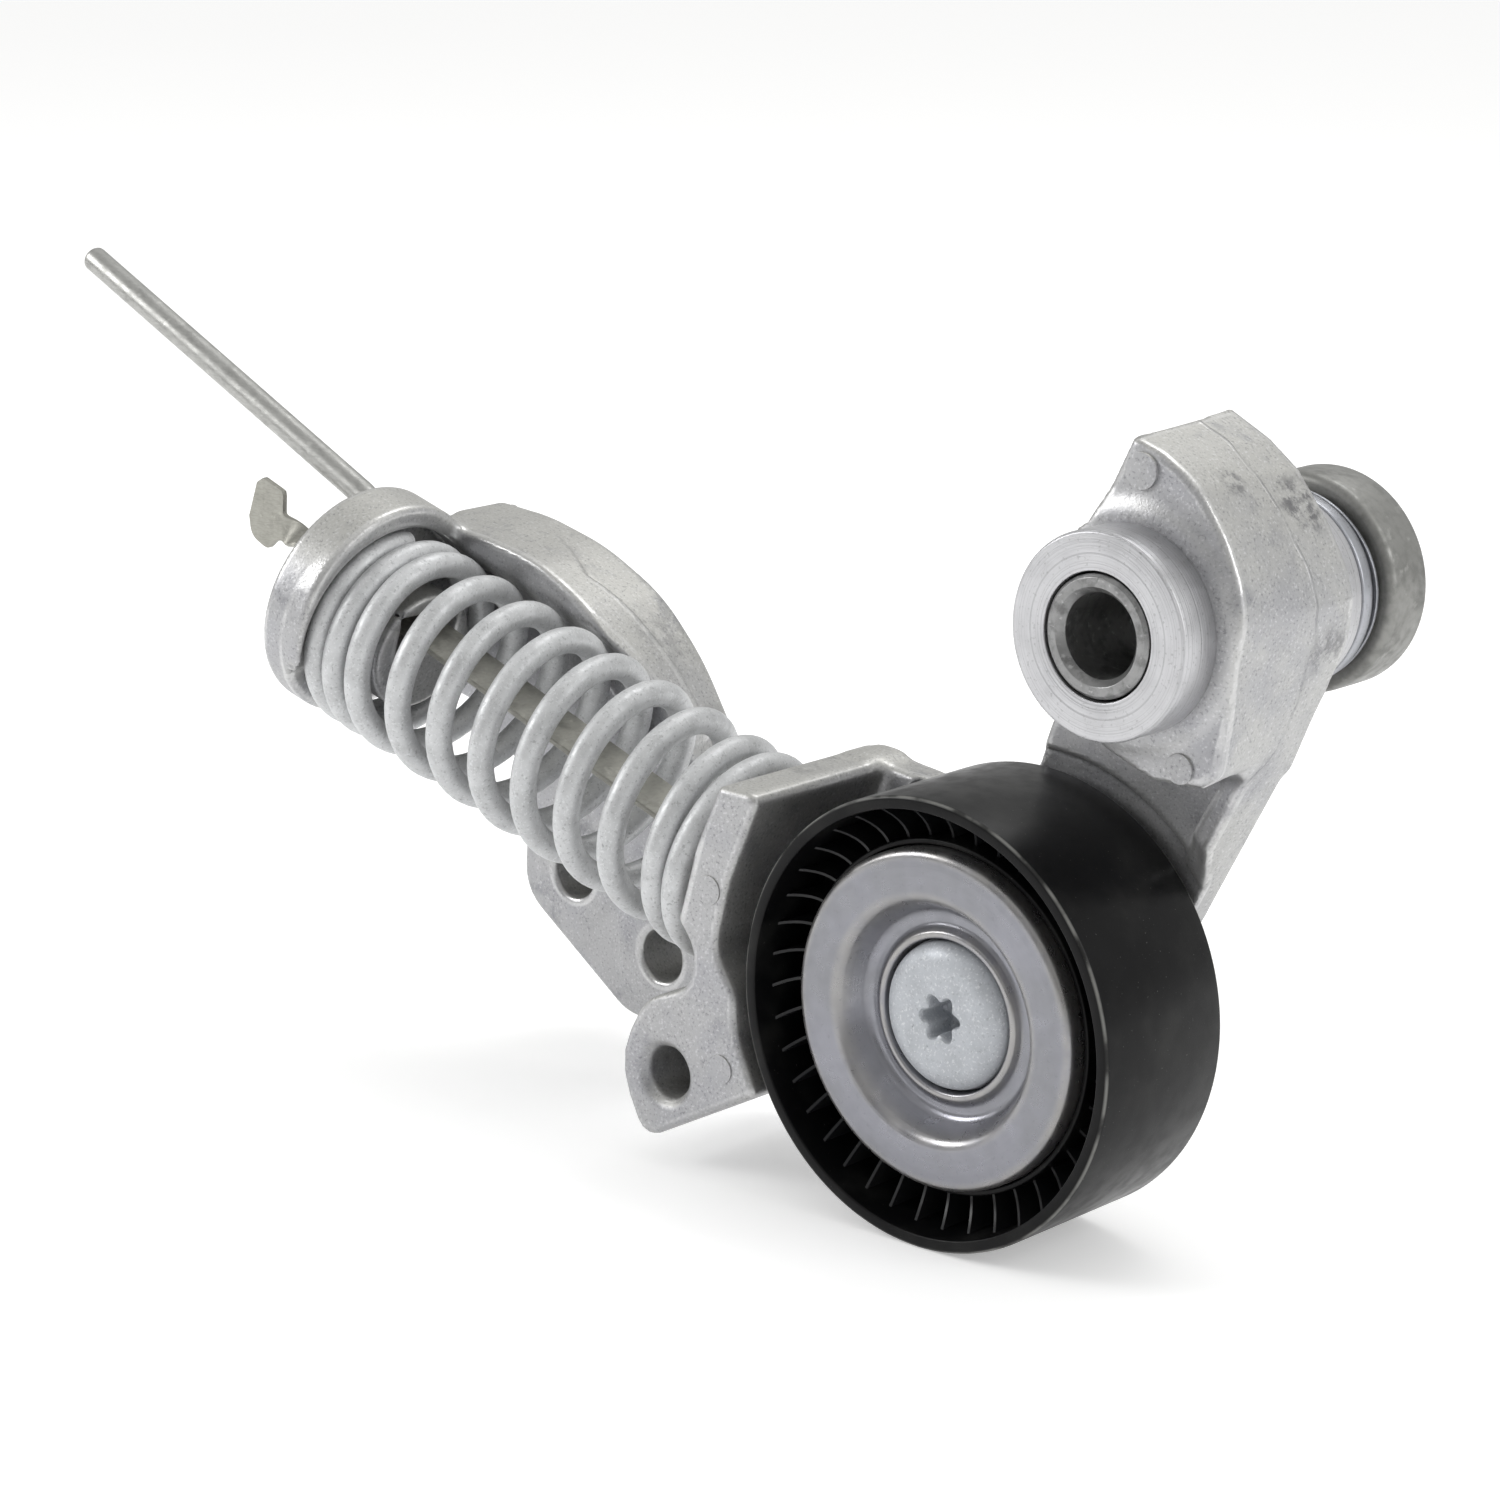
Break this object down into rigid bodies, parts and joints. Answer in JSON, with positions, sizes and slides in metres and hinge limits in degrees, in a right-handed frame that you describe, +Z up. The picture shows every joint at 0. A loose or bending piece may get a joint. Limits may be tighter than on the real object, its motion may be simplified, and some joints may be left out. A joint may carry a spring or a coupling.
{
  "type": "belt tensioner idler",
  "caption": "Automatic belt tensioner: cast bracket with a spring cup, swinging cast arm, compression spring, flat strap with a locking pin and a smooth black idler pulley.",
  "frame": {"origin": "on the arm's pivot axis, in the engine's mounting plane", "axes": "+Y along the pivot axis into the engine, +Z up, +X to the right seen from the pulley side"},
  "size_m": [0.2484, 0.0581, 0.121],
  "materials": {
    "cast_aluminium": "as cast, fine grain",
    "spring_steel": "zinc flake coated, satin",
    "strap_steel": "satin",
    "pin_steel": "drawn wire, satin",
    "sleeve_steel": "turned",
    "plated_steel": "zinc plated",
    "bolt_steel": "zinc flake coated, matte",
    "cap_steel": "pressed, satin",
    "bearing_steel": "ground",
    "pulley_plastic": "glass filled, semi gloss",
    "bush_plastic": "matte",
    "cage_plastic": "matte",
    "seal_rubber": "matte"
  },
  "bodies": {
    "base": {"base_bracket": "cast_aluminium", "compression_spring": "spring_steel", "pivot_sleeve": "sleeve_steel", "wave_washer": "plated_steel", "pivot_end_cap": "sleeve_steel"},
    "arm": {"tensioner_arm": "cast_aluminium", "pivot_bush_front": "bush_plastic", "pivot_bush_rear": "bush_plastic", "friction_disc": "plated_steel", "bearing_inner_ring": "bearing_steel", "dust_cap": "cap_steel", "pulley_bolt": "bolt_steel"},
    "pulley": {"pulley_shell": "pulley_plastic", "bearing_outer_ring": "bearing_steel", "bearing_seal_front": "seal_rubber", "bearing_seal_rear": "seal_rubber"},
    "cage": {"bearing_cage": "cage_plastic", "bearing_ball_1": "bearing_steel", "bearing_ball_2": "bearing_steel", "bearing_ball_3": "bearing_steel", "bearing_ball_4": "bearing_steel", "bearing_ball_5": "bearing_steel", "bearing_ball_6": "bearing_steel", "bearing_ball_7": "bearing_steel", "bearing_ball_8": "bearing_steel"},
    "strap": {"tension_strap": "strap_steel"},
    "pin": {"locking_pin": "pin_steel"}
  },
  "joints": [
    {"name": "arm_swing", "type": "hinge", "parent": "base", "child": "arm", "pos_m": [0, -0.034, 0], "axis": [0, 1, 0], "range_deg": [0, 10], "stiffness_Nm_per_rad": 58, "springref_deg": -24.64, "deforming": ["compression_spring"]},
    {"name": "pulley_spin", "type": "hinge", "parent": "arm", "child": "pulley", "pos_m": [-0.028, -0.041, -0.059], "axis": [0, 1, 0], "continuous": true},
    {"name": "cage_spin", "type": "hinge", "parent": "arm", "child": "cage", "pos_m": [-0.028, -0.041, -0.059], "axis": [0, 1, 0], "continuous": true},
    {"name": "strap_swing", "type": "hinge", "parent": "arm", "child": "strap", "pos_m": [-0.0665, -0.0395, -0.0509], "axis": [0, 1, 0], "range_deg": [-16, 0]},
    {"name": "pin_pull", "type": "slide", "parent": "strap", "child": "pin", "axis": [0.2856, 0.5736, 0.7678], "range_m": [0, 0.022]}
  ],
  "couplings": [
    {"joint": "cage_spin", "follows": "pulley_spin", "ratio": 0.612},
    {"joint": "strap_swing", "follows": "arm_swing", "ratio": -1.6}
  ]
}
